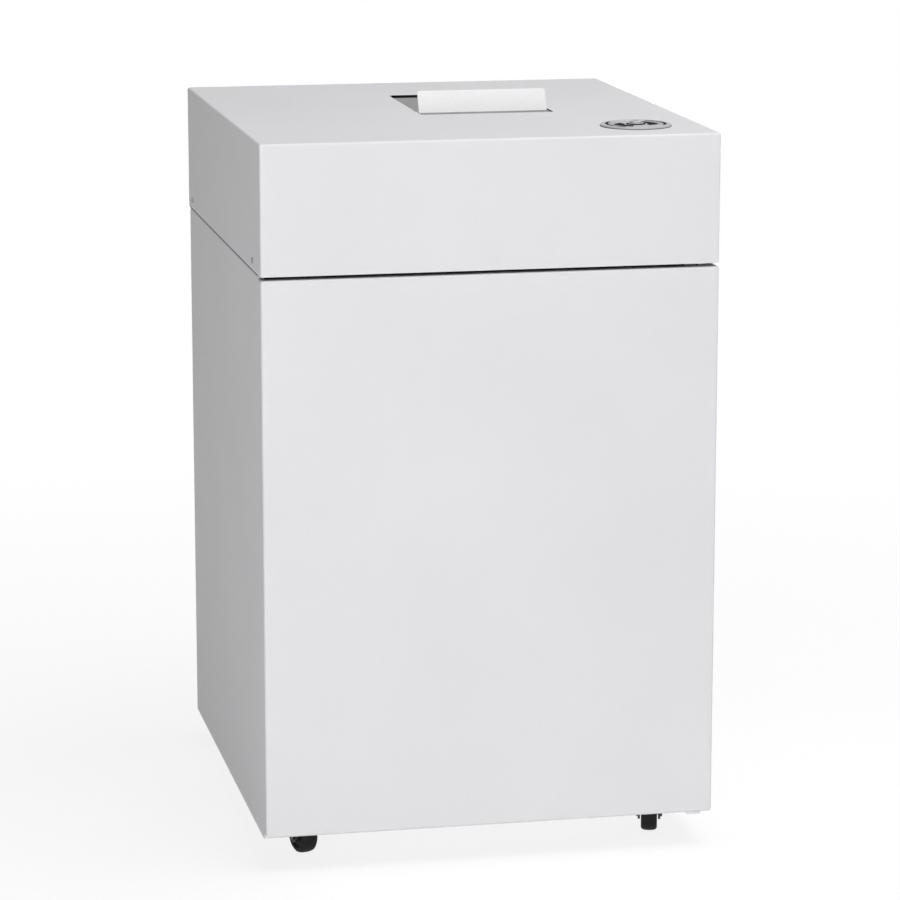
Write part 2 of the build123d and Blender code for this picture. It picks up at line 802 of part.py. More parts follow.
def make_switch_base():
    top = hood_top - sheet
    floor = hood_top + dial_rise - dial_depth
    cup = along_z(Circle(bezel_inner + switch_base_wall), top - switch_base_depth, top)
    cup -= along_z(Circle(bezel_inner), floor, top)
    cup -= along_z(Circle(button_radius + ring_clearance), floor - button_travel - ring_clearance, floor)
    return at_dial(cup)


def caster_places():
    x = half_width - caster_inset_x
    y = half_depth - caster_inset_y
    return {"front_left": (-x, -y), "front_right": (x, -y), "rear_left": (-x, y), "rear_right": (x, y)}


def at_caster(name, part):
    x, y = caster_places()[name]
    return Pos(x, y, 0) * Rot(0, 0, caster_angles[name]) * part


def make_caster_plates():
    low = fork_top + race_gap
    outline = RectangleRounded(caster_plate_size, caster_plate_size, bend_outer)
    plate = along_z(outline, base_height - caster_plate, base_height)
    plate += along_z(Circle(race_radius), low, base_height - caster_plate)
    plate -= along_z(Circle(kingpin_radius + running_fit), low, base_height - caster_plate)
    return solids_of([Pos(x, y, 0) * plate for x, y in caster_places().values()])


def make_caster_fork(name):
    arm = fork_inner + fork_sheet / 2
    crown = fork_top - fork_sheet / 2
    section = bent_sheet([(-arm, 0), (-arm, crown), (arm, crown), (arm, 0)], fork_sheet, fork_sheet)
    fork = along_y(section, -race_radius, caster_trail + fork_lug)
    top = spanned(-race_radius, race_radius, fork_top - 2 * fork_sheet, fork_top)
    side_view = make_hull((top + disc_at(caster_trail, wheel_radius, fork_lug)).edges())
    fork = fork & along_x(side_view, -2 * arm, 2 * arm)
    fork += along_z(Circle(kingpin_radius), fork_top - fork_sheet, base_height - caster_plate)
    fork -= along_x(disc_at(caster_trail, wheel_radius, axle_radius), -2 * arm, 2 * arm)
    return at_caster(name, fork)


def make_caster_axle(name):
    end = fork_inner + fork_sheet
    axle = along_x(disc_at(caster_trail, wheel_radius, axle_radius), -end, end)
    head = disc_at(caster_trail, wheel_radius, axle_radius + axle_head)
    axle += along_x(head, -end - axle_head, -end)
    axle += along_x(head, end, end + axle_head)
    return at_caster(name, axle)


def make_caster_wheel(name):
    half = wheel_width / 2
    hub = axle_radius + hub_wall
    shoulder = wheel_radius - wheel_crown
    band = shoulder - wheel_band
    half_section = [
        (-half, axle_radius + running_fit),
        (-half, hub),
        (-half + wheel_dish, hub + hub_bevel),
        (-half + wheel_dish, band - wheel_bevel),
        (-half, band),
        (-half, shoulder),
    ]
    mirrored = [(-x, r) for x, r in reversed(half_section)]
    tread = ThreePointArc(half_section[-1], (0, wheel_radius), mirrored[0])
    bore = Line(mirrored[-1], half_section[0])
    wheel = revolve(make_face([Polyline(*half_section), tread, Polyline(*mirrored), bore]), Axis.X)
    return at_caster(name, Pos(0, caster_trail, wheel_radius) * wheel)


nodes = {
    "hood": make_hood(),
    "hood_screws": make_hood_screws(),
    "side_panel_left": mirror(make_side_panel(door_rear + panel_gap), about=Plane.YZ),
    "side_panel_right": make_side_panel(right_panel_front),
    "back_panel": make_back_panel(),
    "base_plate": make_base_plate(),
    "mechanism_deck": make_mechanism_deck(),
    "front_crossbar": make_front_crossbar(),
    "upper_hinge_bracket": make_upper_hinge_bracket(),
    "lower_hinge_bracket": make_lower_hinge_bracket(),
    "hinge_pins": make_hinge_pins(),
    "door": make_door(),
    "door_catch": make_door_catch(),
    "door_strike": make_door_strike(),
    "door_switch": make_door_switch(),
    "door_magnet": make_door_magnet(),
    "feed_lid": make_feed_lid(),
    "lid_grip": make_lid_grip(),
    "lid_hinge_pin": make_lid_hinge_pin(),
    "feed_chute": make_feed_chute(),
    "bearing_plate_left": make_bearing_plate(cutter_left - bearing_plate),
    "bearing_plate_right": make_bearing_plate(cutter_right),
    "cutter_bearings": make_cutter_bearings(),
    "tie_rods": make_tie_rods(),
    "front_cutter_shaft": make_cutter_shaft(front_axis, drive_left),
    "front_cutter_discs": make_cutter_discs(front_axis, 0, 1),
    "front_spacers": make_spacers(front_axis, 0),
    "rear_cutter_shaft": make_cutter_shaft(rear_axis, cutter_left - bearing_plate),
    "rear_cutter_discs": make_cutter_discs(rear_axis, disc_pitch / 2, -1),
    "rear_spacers": make_spacers(rear_axis, disc_pitch / 2),
    "front_comb": make_comb(front_axis, 0, -1),
    "rear_comb": make_comb(rear_axis, disc_pitch / 2, 1),
    "sync_gear_front": make_sync_gear(front_axis, 0),
    "sync_gear_rear": make_sync_gear(rear_axis, 180 / sync_teeth),
    "drive_gear": make_drive_gear(),
    "motor_pinion": make_motor_pinion(),
    "motor_mount": make_motor_mount(),
    "drive_motor": make_drive_motor(),
    "waste_bin": make_waste_bin(),
    "power_inlet": make_power_inlet(),
    "control_box": make_control_box(),
    "dial_bezel": make_dial_bezel(),
    "control_ring": make_control_ring(),
    "start_button": make_start_button(),
    "switch_base": make_switch_base(),
    "caster_plates": make_caster_plates(),
}
for corner in caster_angles:
    nodes[f"caster_fork_{corner}"] = make_caster_fork(corner)
    nodes[f"caster_axle_{corner}"] = make_caster_axle(corner)
    nodes[f"caster_wheel_{corner}"] = make_caster_wheel(corner)

os.makedirs("parts", exist_ok=True)
for name, part in nodes.items():
    export_step(part, f"parts/{name}.step")
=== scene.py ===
import json
import math

import bmesh
import bpy
from mathutils import Matrix, Vector


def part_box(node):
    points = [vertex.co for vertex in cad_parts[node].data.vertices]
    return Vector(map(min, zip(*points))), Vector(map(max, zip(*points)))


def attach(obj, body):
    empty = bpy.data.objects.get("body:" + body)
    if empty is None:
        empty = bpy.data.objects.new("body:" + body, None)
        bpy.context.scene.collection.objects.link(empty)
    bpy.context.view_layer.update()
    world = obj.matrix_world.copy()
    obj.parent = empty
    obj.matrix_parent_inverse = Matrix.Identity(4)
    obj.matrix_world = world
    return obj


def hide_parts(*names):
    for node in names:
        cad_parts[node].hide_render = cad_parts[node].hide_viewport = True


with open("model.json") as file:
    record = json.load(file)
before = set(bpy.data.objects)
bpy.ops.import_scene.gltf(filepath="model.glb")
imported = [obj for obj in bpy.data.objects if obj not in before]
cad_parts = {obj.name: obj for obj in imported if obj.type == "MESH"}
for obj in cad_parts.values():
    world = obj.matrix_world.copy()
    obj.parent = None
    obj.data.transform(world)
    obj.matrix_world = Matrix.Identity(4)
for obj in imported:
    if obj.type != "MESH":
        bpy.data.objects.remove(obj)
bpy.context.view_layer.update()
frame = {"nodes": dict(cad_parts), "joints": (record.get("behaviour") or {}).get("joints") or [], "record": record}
slotOf = {row["node"]: row["material_slot"] for row in frame["record"]["subparts"]}
jointOf = {row["name"]: row for row in frame["joints"]}

mm = 0.001
softAngle = 35  # degrees, flatter edges are shaded smooth
bendSteps = 6  # faces round a bend of the sheet
alongLimit = 0.99  # cosine, for edges that run along an axis
tiny = 1e-7
up = (0, 0, 1)


# materials

def newMaterial(name):
    material = bpy.data.materials.new(name)
    material.use_nodes = True
    tree = material.node_tree
    return material, tree, tree.nodes["Principled BSDF"]


def addNode(tree, kind, values=None, **settings):  # values go to the sockets, settings to the node
    node = tree.nodes.new(kind)
    for key, value in settings.items():
        setattr(node, key, value)
    for key, value in (values or {}).items():
        node.inputs[key].default_value = value
    return node


def placed(tree, stretch=(1, 1, 1), shift=(0, 0, 0)):  # object coordinates in metres, stretched for grain
    coords = addNode(tree, "ShaderNodeTexCoord")
    mapping = addNode(tree, "ShaderNodeMapping", {"Location": shift, "Scale": stretch})
    tree.links.new(coords.outputs["Object"], mapping.inputs["Vector"])
    return mapping.outputs["Vector"]


def noise(tree, vector, scale, detail=2.0, roughness=0.5):
    values = {"Scale": scale, "Detail": detail, "Roughness": roughness}
    node = addNode(tree, "ShaderNodeTexNoise", values)
    tree.links.new(vector, node.inputs["Vector"])
    return node.outputs["Fac"]


def ranged(tree, value, low, high, fromLow=0.3, fromHigh=0.7):
    values = {"From Min": fromLow, "From Max": fromHigh, "To Min": low, "To Max": high}
    node = addNode(tree, "ShaderNodeMapRange", values)
    tree.links.new(value, node.inputs["Value"])
    return node.outputs["Result"]


def tinted(tree, value, dark, light):
    node = addNode(tree, "ShaderNodeMix", data_type="RGBA")
    sockets = {socket.identifier: socket for socket in node.inputs}
    sockets["A_Color"].default_value = (*dark, 1)
    sockets["B_Color"].default_value = (*light, 1)
    tree.links.new(value, sockets["Factor_Float"])
    return {socket.identifier: socket for socket in node.outputs}["Result_Color"]


def bumped(tree, shader, heights):  # heights: (socket, strength, distance), finest last
    normal = None
    for height, strength, distance in heights:
        node = addNode(tree, "ShaderNodeBump", {"Strength": strength, "Distance": distance})
        tree.links.new(height, node.inputs["Height"])
        if normal is not None:
            tree.links.new(normal, node.inputs["Normal"])
        normal = node.outputs["Normal"]
    tree.links.new(normal, shader.inputs["Normal"])


coatLook = dict(
    cloud=5.0, cloudDetail=3.0, grainDetail=1.0, gloss=0.4,
    peelBump=0.22, peelDepth=0.25 * mm, grainBump=0.12, grainDepth=0.06 * mm,
)


def powderCoat(name, light, dark, roughness, peel, grain, texture=1.0):
    look = coatLook
    material, tree, shader = newMaterial(name)
    vector = placed(tree)
    cloud = noise(tree, vector, look["cloud"], look["cloudDetail"])
    peelHeight = noise(tree, vector, peel)
    grainHeight = noise(tree, vector, grain, look["grainDetail"])
    tree.links.new(tinted(tree, ranged(tree, cloud, 0, 1), dark, light), shader.inputs["Base Color"])
    tree.links.new(ranged(tree, peelHeight, *roughness), shader.inputs["Roughness"])
    shader.inputs["Specular IOR Level"].default_value = look["gloss"]
    bumped(tree, shader, [
        (peelHeight, look["peelBump"] * texture, look["peelDepth"]),
        (grainHeight, look["grainBump"] * texture, look["grainDepth"]),
    ])
    return material


steelLook = dict(
    streakDetail=4.0, streakRoughness=0.6, cloud=22.0, cloudDetail=3.0, bump=0.18, depth=0.08 * mm,
)


def brushedSteel(name, light, dark, roughness, stretch, grain):
    look = steelLook
    material, tree, shader = newMaterial(name)
    streaks = noise(tree, placed(tree, stretch), grain, look["streakDetail"], look["streakRoughness"])
    cloud = noise(tree, placed(tree), look["cloud"], look["cloudDetail"])
    tree.links.new(tinted(tree, ranged(tree, streaks, 0, 1), dark, light), shader.inputs["Base Color"])
    tree.links.new(ranged(tree, cloud, *roughness), shader.inputs["Roughness"])
    shader.inputs["Metallic"].default_value = 1.0
    bumped(tree, shader, [(streaks, look["bump"], look["depth"])])
    return material


zincLook = dict(
    spangle=120.0, roughness=(0.45, 0.62), metallic=0.85, grain=700.0, bump=0.1, depth=0.1 * mm,
)


def galvanised(name, light, dark):
    look = zincLook
    material, tree, shader = newMaterial(name)
    spangle = addNode(tree, "ShaderNodeTexVoronoi", {"Scale": look["spangle"]})
    tree.links.new(placed(tree), spangle.inputs["Vector"])
    split = addNode(tree, "ShaderNodeSeparateColor")
    tree.links.new(spangle.outputs["Color"], split.inputs["Color"])
    flake = split.outputs["Red"]
    tree.links.new(tinted(tree, flake, dark, light), shader.inputs["Base Color"])
    tree.links.new(ranged(tree, flake, *look["roughness"], 0, 1), shader.inputs["Roughness"])
    shader.inputs["Metallic"].default_value = look["metallic"]
    bumped(tree, shader, [(noise(tree, placed(tree), look["grain"]), look["bump"], look["depth"])])
    return material


plasticLook = dict(cloud=30.0, cloudDetail=3.0, bump=0.3, depth=0.12 * mm)


def mouldedPlastic(name, light, dark, roughness, grain, gloss=0.5):
    look = plasticLook
    material, tree, shader = newMaterial(name)
    vector = placed(tree)
    cloud = noise(tree, vector, look["cloud"], look["cloudDetail"])
    grainHeight = noise(tree, vector, grain)
    tree.links.new(tinted(tree, ranged(tree, cloud, 0, 1), dark, light), shader.inputs["Base Color"])
    tree.links.new(ranged(tree, grainHeight, *roughness), shader.inputs["Roughness"])
    shader.inputs["Specular IOR Level"].default_value = gloss
    bumped(tree, shader, [(grainHeight, look["bump"], look["depth"])])
    return material


silverLook = dict(
    rings=700.0, distortion=1.5, detail=2.0, cloud=150.0, roughness=(0.44, 0.56), metallic=0.3,
    bump=0.15, depth=0.03 * mm,
)


def turnedSilver(name, centre, light, dark):  # fine rings about the dial's axis
    look = silverLook
    material, tree, shader = newMaterial(name)
    flat = placed(tree, (1, 1, 0), (-centre[0], -centre[1], 0))
    values = {"Scale": look["rings"], "Distortion": look["distortion"], "Detail": look["detail"]}
    rings = addNode(tree, "ShaderNodeTexWave", values, wave_type="RINGS", rings_direction="Z")
    tree.links.new(flat, rings.inputs["Vector"])
    tree.links.new(tinted(tree, rings.outputs["Fac"], dark, light), shader.inputs["Base Color"])
    cloud = noise(tree, placed(tree), look["cloud"])
    tree.links.new(ranged(tree, cloud, *look["roughness"]), shader.inputs["Roughness"])
    shader.inputs["Metallic"].default_value = look["metallic"]
    bumped(tree, shader, [(rings.outputs["Fac"], look["bump"], look["depth"])])
    return material


def camelName(slotName):
    first, *rest = slotName.split("_")
    return first + "".join(word.title() for word in rest)


dialSpot = Vector(jointOf["control_turn"]["pos_m"])
finishLook = {
    "cabinet_paint": (powderCoat, dict(
        light=(0.778, 0.778, 0.796), dark=(0.752, 0.752, 0.769),
        roughness=(0.5, 0.6), peel=900, grain=5200)),
    "lid_paint": (powderCoat, dict(
        light=(0.2, 0.2, 0.204), dark=(0.17, 0.17, 0.174),
        roughness=(0.42, 0.52), peel=900, grain=5200)),
    "grip_satin": (powderCoat, dict(
        light=(0.9, 0.9, 0.905), dark=(0.87, 0.87, 0.875),
        roughness=(0.26, 0.3), peel=700, grain=6000, texture=0.05)),
    "galvanised_sheet": (galvanised, dict(light=(0.5, 0.51, 0.52), dark=(0.4, 0.41, 0.42))),
    "dial_silver": (turnedSilver, dict(
        centre=dialSpot, light=(0.5, 0.5, 0.51), dark=(0.42, 0.42, 0.43))),
    "bright_steel": (brushedSteel, dict(
        light=(0.66, 0.66, 0.67), dark=(0.5, 0.5, 0.51),
        roughness=(0.2, 0.34), stretch=(1, 1, 12), grain=300)),
    "tool_steel": (brushedSteel, dict(
        light=(0.4, 0.4, 0.41), dark=(0.26, 0.26, 0.27),
        roughness=(0.28, 0.42), stretch=(14, 1, 1), grain=240)),
    "plate_steel": (brushedSteel, dict(
        light=(0.36, 0.36, 0.37), dark=(0.22, 0.22, 0.23),
        roughness=(0.4, 0.55), stretch=(1, 5, 1), grain=130)),
    "axle_steel": (brushedSteel, dict(
        light=(0.09, 0.09, 0.095), dark=(0.05, 0.05, 0.053),
        roughness=(0.35, 0.5), stretch=(1, 1, 6), grain=400)),
    "motor_paint": (powderCoat, dict(
        light=(0.05, 0.052, 0.056), dark=(0.035, 0.036, 0.04),
        roughness=(0.4, 0.55), peel=700, grain=4000)),
    "bin_plastic": (mouldedPlastic, dict(
        light=(0.045, 0.046, 0.05), dark=(0.03, 0.031, 0.034),
        roughness=(0.45, 0.62), grain=1500)),
    "black_plastic": (mouldedPlastic, dict(
        light=(0.022, 0.022, 0.023), dark=(0.012, 0.012, 0.013),
        roughness=(0.42, 0.6), grain=2200)),
    "box_plastic": (mouldedPlastic, dict(
        light=(0.24, 0.245, 0.25), dark=(0.19, 0.195, 0.2),
        roughness=(0.45, 0.6), grain=1800)),
    "caster_black": (mouldedPlastic, dict(
        light=(0.012, 0.012, 0.013), dark=(0.007, 0.007, 0.008),
        roughness=(0.4, 0.58), grain=2400, gloss=0.3)),
    "caster_tread": (mouldedPlastic, dict(
        light=(0.012, 0.012, 0.012), dark=(0.006, 0.006, 0.006),
        roughness=(0.6, 0.8), grain=1600, gloss=0.2)),
    # flat black for the dial's printed marks, and for the strips and rings that are painted shade in gaps and
    # seams
    "dial_marks": (mouldedPlastic, dict(
        light=(0.012, 0.012, 0.012), dark=(0.006, 0.006, 0.006),
        roughness=(0.85, 0.95), grain=3000, gloss=0.1)),
    # near-black for the chute: painted shade for the dark inside of the feed slot
    "chute_black": (powderCoat, dict(
        light=(0.024, 0.024, 0.025), dark=(0.016, 0.016, 0.017),
        roughness=(0.6, 0.72), peel=800, grain=4600)),
}
ownFinish = {  # nodes that don't take the finish of their slot
    # the chute's near-black is painted shade for the dark inside of the feed slot; the hinge pins are dark steel
    # whose darkness also stands in for the shade of the gaps they sit in
    "feed_chute": "chute_black", "lid_hinge_pin": "axle_steel", "hinge_pins": "axle_steel",
    "lower_hinge_bracket": "cabinet_paint",
}
finishes = {}
for slotName, (makeFinish, values) in finishLook.items():
    finishes[slotName] = makeFinish(camelName(slotName), **values)
for nodeName, node in frame["nodes"].items():
    node.data.materials.clear()
    node.data.materials.append(finishes[ownFinish.get(nodeName, slotOf[nodeName])])
print("finishes made:", len(finishes))


# mesh helpers

def newPiece(name, bm, finish, smoothAngle=softAngle):
    mesh = bpy.data.meshes.new(name)
    bmesh.ops.recalc_face_normals(bm, faces=bm.faces)
    bm.to_mesh(mesh)
    bm.free()
    piece = bpy.data.objects.new(name, mesh)
    bpy.context.scene.collection.objects.link(piece)
    mesh.materials.append(finishes[finish])
    smoothEdges(mesh, smoothAngle)
    return piece


def smoothEdges(mesh, angle=softAngle):
    mesh.polygons.foreach_set("use_smooth", [True] * len(mesh.polygons))
    mesh.set_sharp_from_angle(angle=math.radians(angle))


def settle(piece, kind, **settings):  # adds a modifier, then keeps only its result
    modifier = piece.modifiers.new(kind.title(), kind)
    for key, value in settings.items():
        setattr(modifier, key, value)
    graph = bpy.context.evaluated_depsgraph_get()
    result = bpy.data.meshes.new_from_object(piece.evaluated_get(graph), depsgraph=graph)
    piece.modifiers.clear()
    old = piece.data
    piece.data = result
    result.name = piece.name
    bpy.data.meshes.remove(old)
    return piece


def evenShade(piece):  # large flat faces keep their own normal beside the small bends
    smoothEdges(piece.data)
    return settle(piece, "WEIGHTED_NORMAL", weight=80, keep_sharp=True)


def eased(piece, width, segments):  # small bevel on every sharp edge
    settle(piece, "BEVEL", width=width, segments=segments, limit_method="ANGLE")
    return evenShade(piece)


def cutOut(piece, *cutters):
    for cutter in cutters:
        settle(piece, "BOOLEAN", object=cutter, operation="DIFFERENCE", solver="EXACT")
        mesh = cutter.data
        bpy.data.objects.remove(cutter)
        bpy.data.meshes.remove(mesh)


def boxMesh(low, high):
    bm = bmesh.new()
    size = Vector(high) - Vector(low)
    middle = (Vector(high) + Vector(low)) / 2
    bmesh.ops.create_cube(bm, size=1, matrix=Matrix.Translation(middle) @ Matrix.Diagonal((*size, 1)))
    return bm


def roundEdges(bm, edges, radius, segments):
    bmesh.ops.bevel(bm, geom=list(edges), offset=radius, segments=segments, profile=0.5, affect="EDGES")


def edgesAlong(bm, axis):
    def lean(edge):
        return abs((edge.verts[1].co - edge.verts[0].co).normalized()[axis])
    return [edge for edge in bm.edges if lean(edge) > alongLimit]


def bridge(bm, lower, upper):  # faces between two rings with the same number of points
    count = len(lower)
    for index in range(count):
        following = (index + 1) % count
        bm.faces.new((lower[index], lower[following], upper[following], upper[index]))


def prism(name, outline, low, high, finish="cabinet_paint"):  # closed upright slab of an outline
    bm = bmesh.new()
    rings = [[bm.verts.new((x, y, level)) for x, y in outline] for level in (low, high)]
    bridge(bm, *rings)
    bm.faces.new(rings[0])
    bm.faces.new(rings[1])
    return newPiece(name, bm, finish)


def onCircle(centre, radius, turn):
    return centre[0] + radius * math.cos(turn), centre[1] + radius * math.sin(turn)


def arcPoints(centre, radius, start, end, count):
    steps = [start + (end - start) * index / (count - 1) for index in range(count)]
    return [onCircle(centre, radius, turn) for turn in steps]


def circlePoints(centre, radius, count):
    return arcPoints(centre, radius, 0, 2 * math.pi * (count - 1) / count, count)


def roundedOutline(u0, u1, v0, v1, radius, count=6):
    quarter = math.pi / 2
    left, right, low, high = u0 + radius, u1 - radius, v0 + radius, v1 - radius
    points = []
    for index, corner in enumerate([(right, high), (left, high), (left, low), (right, low)]):
        points += arcPoints(corner, radius, index * quarter, (index + 1) * quarter, count)
    return points


def turnedTo(spot, axis):  # matrix that stands a piece made along z on a spot, along an axis
    turn = Vector(up).rotation_difference(Vector(axis)).to_matrix().to_4x4()
    return Matrix.Translation(Vector(spot)) @ turn


# profile is a list of (radius, height), closed where it ends as it began
def lathe(name, profile, origin, axis, finish, segments, smoothAngle=softAngle):
    bm = bmesh.new()
    place = turnedTo(origin, axis)
    rings = []
    for radius, height in profile:
        if radius < tiny:
            rings.append([bm.verts.new(place @ Vector((0, 0, height)))])
            continue
        ring = []
        for index in range(segments):
            x, y = onCircle((0, 0), radius, 2 * math.pi * index / segments)
            ring.append(bm.verts.new(place @ Vector((x, y, height))))
        rings.append(ring)
    if profile[0] == profile[-1]:
        for vert in rings.pop():
            bm.verts.remove(vert)
        rings.append(rings[0])
    for lower, upper in zip(rings, rings[1:]):
        for index in range(segments):
            following = (index + 1) % segments
            corners = [lower[index % len(lower)], lower[following % len(lower)]]
            corners += [upper[following % len(upper)], upper[index % len(upper)]]
            bm.faces.new(list(dict.fromkeys(corners)))
    return newPiece(name, bm, finish, smoothAngle)


def joined(name, pieces):
    lead = pieces[0]
    with bpy.context.temp_override(active_object=lead, selected_editable_objects=pieces, object=lead):
        bpy.ops.object.join()
    lead.name = name
    lead.data.name = name
    return lead


def fitted(piece, body, slot, *nodes):
    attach(piece, body)
    if nodes:
        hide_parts(*nodes)


# folded cabinet sheet

hoodLook = dict(
    sheet=1.5 * mm, bend=2.6 * mm, slotCorner=3 * mm, dialHole=27 * mm, holeSteps=64, margin=6 * mm,
)
hoodLow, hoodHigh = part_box("hood")
lidLow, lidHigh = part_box("feed_lid")
lidPin = Vector(jointOf["lid_hinge"]["pos_m"])
slotGap = dict(side=1.0 * mm, front=1.0 * mm, rear=8 * mm)
slotBox = (
    lidLow.x - slotGap["side"], lidHigh.x + slotGap["side"],
    lidLow.y - slotGap["front"], lidPin.y + slotGap["rear"],
)


def foldedPan(name, low, high, openAxis, openSign, sheet, bend):  # five sides with round bends
    bm = boxMesh(low, high)
    openFace = max(bm.faces, key=lambda face: face.calc_center_median()[openAxis] * openSign)
    bmesh.ops.delete(bm, geom=[openFace], context="FACES_ONLY")
    folds = [edge for edge in bm.edges if len(edge.link_faces) == 2]
    roundEdges(bm, folds, bend, bendSteps)
    pan = newPiece(name, bm, "cabinet_paint")
    return settle(pan, "SOLIDIFY", thickness=sheet, offset=-1, use_even_offset=True)


def buildHood():
    look = hoodLook
    cover = foldedPan("hoodCover", hoodLow, hoodHigh, 2, -1, look["sheet"], look["bend"])
    under, over = hoodHigh.z - look["margin"], hoodHigh.z + look["margin"]
    slotCutter = prism("slotCutter", roundedOutline(*slotBox, look["slotCorner"]), under, over)
    hole = circlePoints(dialSpot.xy, look["dialHole"], look["holeSteps"])
    dialCutter = prism("dialCutter", hole, under, over)
    cutOut(cover, slotCutter, dialCutter)
    fitted(evenShade(cover), "cabinet", "cabinet_paint", "hood")


doorLook = dict(
    sheet=1.5 * mm, bend=2.8 * mm, bossRadius=7 * mm, bossLength=11.5 * mm, bossEase=1.0 * mm,
    boreRadius=4.05 * mm, segments=32,
)
doorLow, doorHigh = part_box("door")
doorPin = Vector(jointOf["door_hinge"]["pos_m"])


def buildDoor():
    look = doorLook
    sheet, bore, rim = look["sheet"], look["boreRadius"], look["bossRadius"]
    pan = foldedPan("doorPan", doorLow, doorHigh, 1, 1, sheet, look["bend"])
    hole = circlePoints(doorPin.xy, bore, look["segments"])
    for end in (doorLow.z, doorHigh.z):
        cutOut(pan, prism("pinBore", hole, end - 2 * sheet, end + 2 * sheet))
    fitted(evenShade(pan), "door", "cabinet_paint", "door")
    reach, ease = look["bossLength"], look["bossEase"]
    ring = [(bore, 0), (rim, 0), (rim, reach - ease), (rim - ease, reach), (bore, reach), (bore, 0)]
    bosses = {"upperHingeBoss": (doorHigh.z - sheet, -1), "lowerHingeBoss": (doorLow.z + sheet, 1)}
    for name, (start, turn) in bosses.items():
        spot = (*doorPin.xy, start)
        boss = lathe(name, ring, spot, (0, 0, turn), "cabinet_paint", look["segments"])
        fitted(boss, "door", "cabinet_paint")


seamShadeLook = dict(
    proud=0.7 * mm, inside=0.6 * mm, lap=0.4 * mm, gap=1.0 * mm, clear=0.02 * mm, endInset=4 * mm,
    ease=0.16 * mm, easeSteps=2,
)


def buildSeamShades():  # black strips on the side panels, under the hood's rim: painted shade for the dark seam between hood and side panel
    look = seamShadeLook
    bottom, top = hoodLow.z - look["gap"] - look["lap"], hoodLow.z - look["clear"]
    for name, node, outward in (("seamShadeLeft", "side_panel_left", -1), ("seamShadeRight", "side_panel_right", 1)):
        low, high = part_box(node)
        face = low.x if outward < 0 else high.x
        xs = sorted((face + outward * look["proud"], face - outward * look["inside"]))
        ys = low.y + look["endInset"], high.y - look["endInset"]
        bm = boxMesh((xs[0], ys[0], bottom), (xs[1], ys[1], top))
        roundEdges(bm, edgesAlong(bm, 1), look["ease"], look["easeSteps"])
        fitted(newPiece(name, bm, "dial_marks"), "cabinet", "black_plastic")


doorGapShadeLook = dict(
    rear=1.0 * mm, depth=9 * mm, height=1.5 * mm, leftInset=6 * mm, rightInset=35 * mm,
    ease=0.3 * mm, easeSteps=2,
)


def buildDoorGapShade():  # black strip along the door's upper flange: painted shade for the dark upper half of the gap under the hood
    look = doorGapShadeLook
    rear = doorHigh.y - look["rear"]
    low = (doorLow.x + look["leftInset"], rear - look["depth"], doorHigh.z)
    high = (doorHigh.x - look["rightInset"], rear, doorHigh.z + look["height"])
    bm = boxMesh(low, high)
    roundEdges(bm, edgesAlong(bm, 0), look["ease"], look["easeSteps"])
    fitted(newPiece("doorGapShade", bm, "dial_marks"), "door", "black_plastic")


buildHood()
buildDoor()
buildSeamShades()
buildDoorGapShade()
print("hood and door folded")


# feed lid and its grip

lidLook = dict(
    thickness=2.5 * mm, lift=1.2 * mm, corner=3 * mm, edge=0.35 * mm, rearGap=12 * mm, strapLap=8 * mm,
    strap=2 * mm, barrel=4.4 * mm, bore=2.05 * mm, barrelGap=0.2 * mm, edgeSteps=2, segments=32,
)


def buildLid():
    look = lidLook
    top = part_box("lid_grip")[0].z + look["lift"]
    under = top - look["thickness"]
    rear = lidPin.y - look["rearGap"]
    outline = roundedOutline(lidLow.x, lidHigh.x, lidLow.y, rear, look["corner"])
    leaf = prism("lidLeaf", outline, under, top, "lid_paint")
    leaf = eased(leaf, look["edge"], look["edgeSteps"])
    fitted(leaf, "feed_lid", "lid_paint", "feed_lid")
    strapLow = (lidLow.x + look["corner"], rear - look["strapLap"], under - look["strap"])
    strap = boxMesh(strapLow, (lidHigh.x - look["corner"], lidPin.y, under))
    roundEdges(strap, edgesAlong(strap, 0), look["edge"], look["edgeSteps"])
    fitted(newPiece("lidStrap", strap, "dial_marks"), "feed_lid", "lid_paint")  # joins leaf and barrel; black, painted shade for the dark gap behind the lid
    start, length = lidLow.x + look["barrelGap"], lidHigh.x - lidLow.x - 2 * look["barrelGap"]
    outer, inner, ease = look["barrel"], look["bore"], look["edge"]
    tube = [(inner, 0), (outer - ease, 0), (outer, ease), (outer, length - ease)]
    tube += [(outer - ease, length), (inner, length), (inner, 0)]
    spot = (start, *lidPin.yz)
    # the barrel is black too: painted shade in the gap behind the lid
    barrel = lathe("lidBarrel", tube, spot, (1, 0, 0), "dial_marks", look["segments"])
    fitted(barrel, "feed_lid", "lid_paint")


slotShadeLook = dict(inset=3 * mm, thick=0.5 * mm, drop=8 * mm, clear=0.05 * mm)


def buildSlotShade():  # black strips on the slot's rear edge and at its ends: painted shade that covers the lit cut edge, for the dark gap round the lid
    look = slotShadeLook
    left, right, front, rear = slotBox
    thick, inset, top = look["thick"], look["inset"], hoodHigh.z - look["clear"]
    under, deep = hoodHigh.z - hoodLook["sheet"], hoodHigh.z - look["drop"]
    strips = {
        "slotShadeStrip.rear": ((left + inset, rear - thick, deep), (right - inset, rear, top)),
        "slotShadeStrip.left": ((left, front + inset, under), (left + thick, rear - inset, top)),
        "slotShadeStrip.right": ((right - thick, front + inset, under), (right, rear - inset, top)),
    }
    for name, (low, high) in strips.items():
        fitted(newPiece(name, boxMesh(low, high), "dial_marks"), "cabinet", "black_plastic")


gripLook = dict(
    sheet=1.5 * mm, corner=2.6 * mm, cornerSteps=8, topGap=0.6 * mm, edge=0.45 * mm, edgeSteps=3, lean=26,
    foot=16 * mm, fold=1.6 * mm, foldSteps=4, footEdge=0.36 * mm, footEdgeSteps=2,
)


